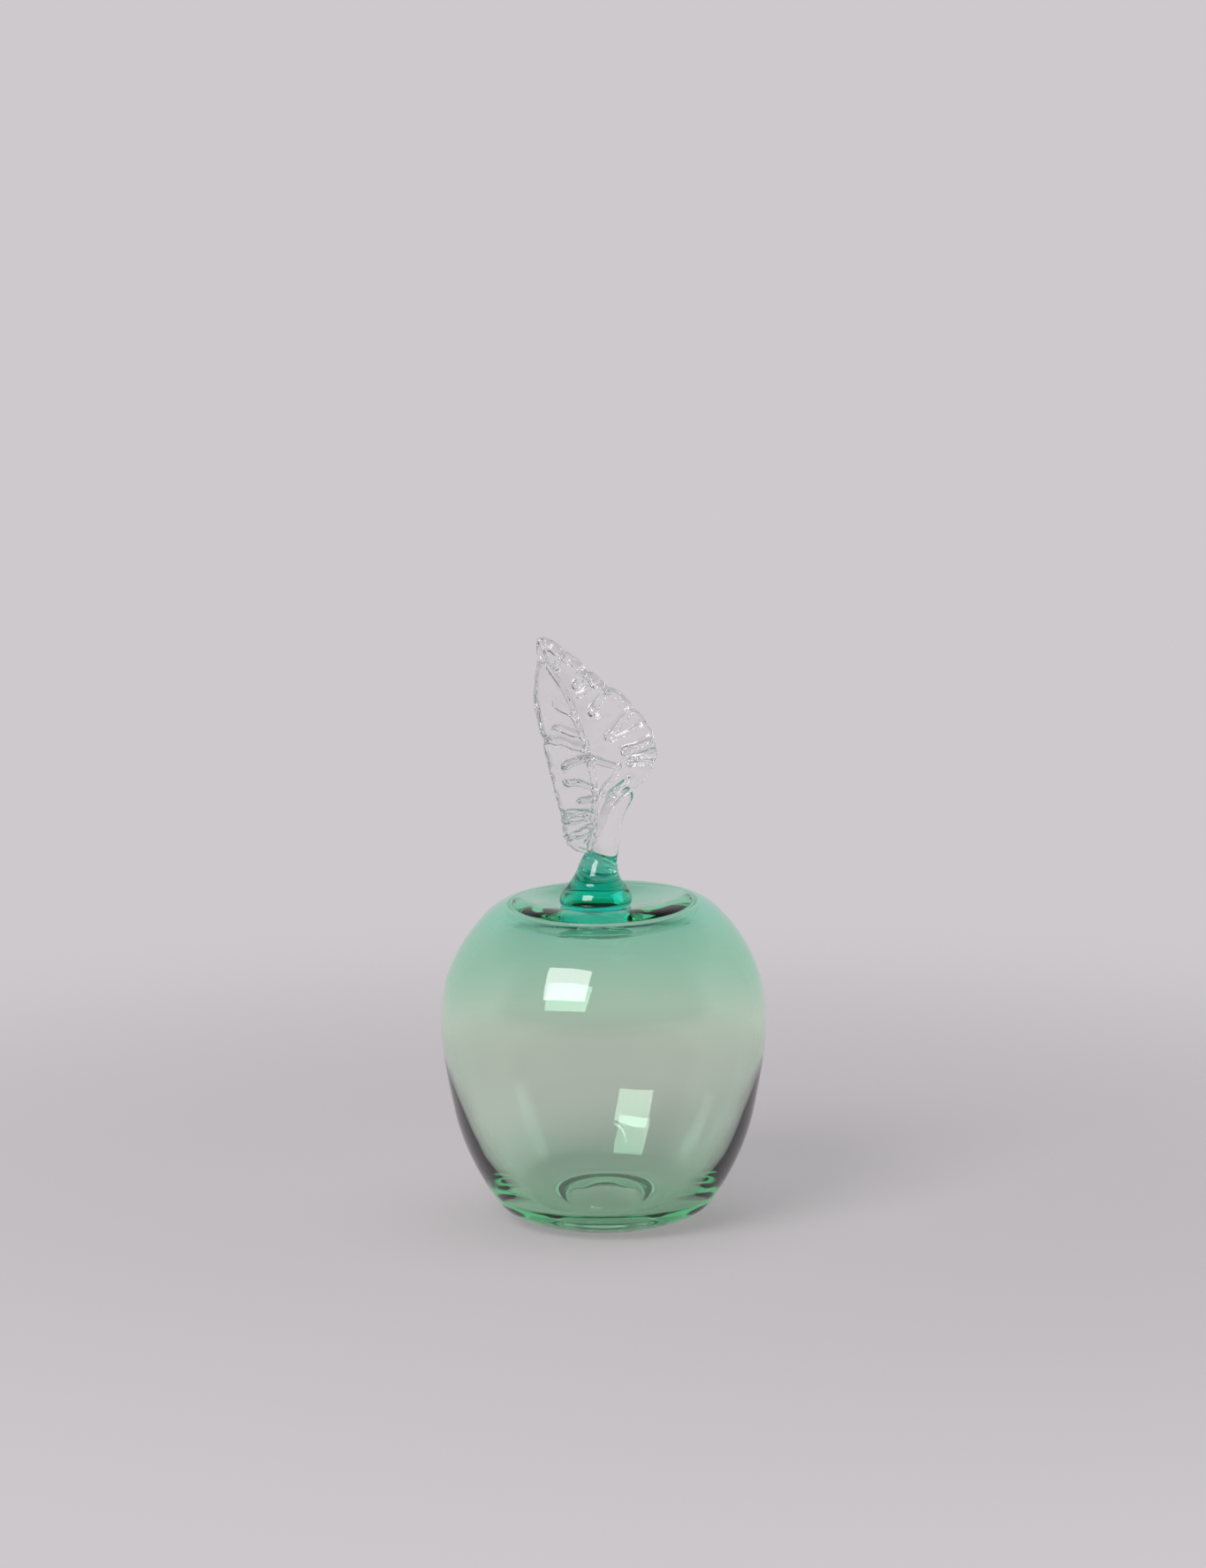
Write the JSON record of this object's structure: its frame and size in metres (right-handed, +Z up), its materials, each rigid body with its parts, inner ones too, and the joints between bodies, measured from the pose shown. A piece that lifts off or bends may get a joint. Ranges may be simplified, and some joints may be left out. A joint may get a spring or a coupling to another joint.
{
  "type": "art glass apple",
  "caption": "Hollow blown green glass apple with a dimpled top, a solid emerald collar, a clear bent stem and a clear crimped leaf; a free-standing table ornament.",
  "frame": {"origin": "centre of the flat foot ring, on the surface that the apple stands on", "axes": "+Z up along the blown body's axis; -Y towards the viewer of the picture, the side that the leaf's midrib stands on; +X to that viewer's right, the way the stem leans"},
  "size_m": [0.1144, 0.1144, 0.2073],
  "materials": {
    "green_glass": "fire-polished, pale sea-green, transparent",
    "emerald_glass": "fire-polished, deep emerald, transparent",
    "clear_glass": "fire-polished, colourless, transparent"
  },
  "bodies": {
    "root": {"apple_body": "green_glass", "stem_collar": "emerald_glass", "stem": "clear_glass", "leaf": "clear_glass"}
  },
  "joints": []
}
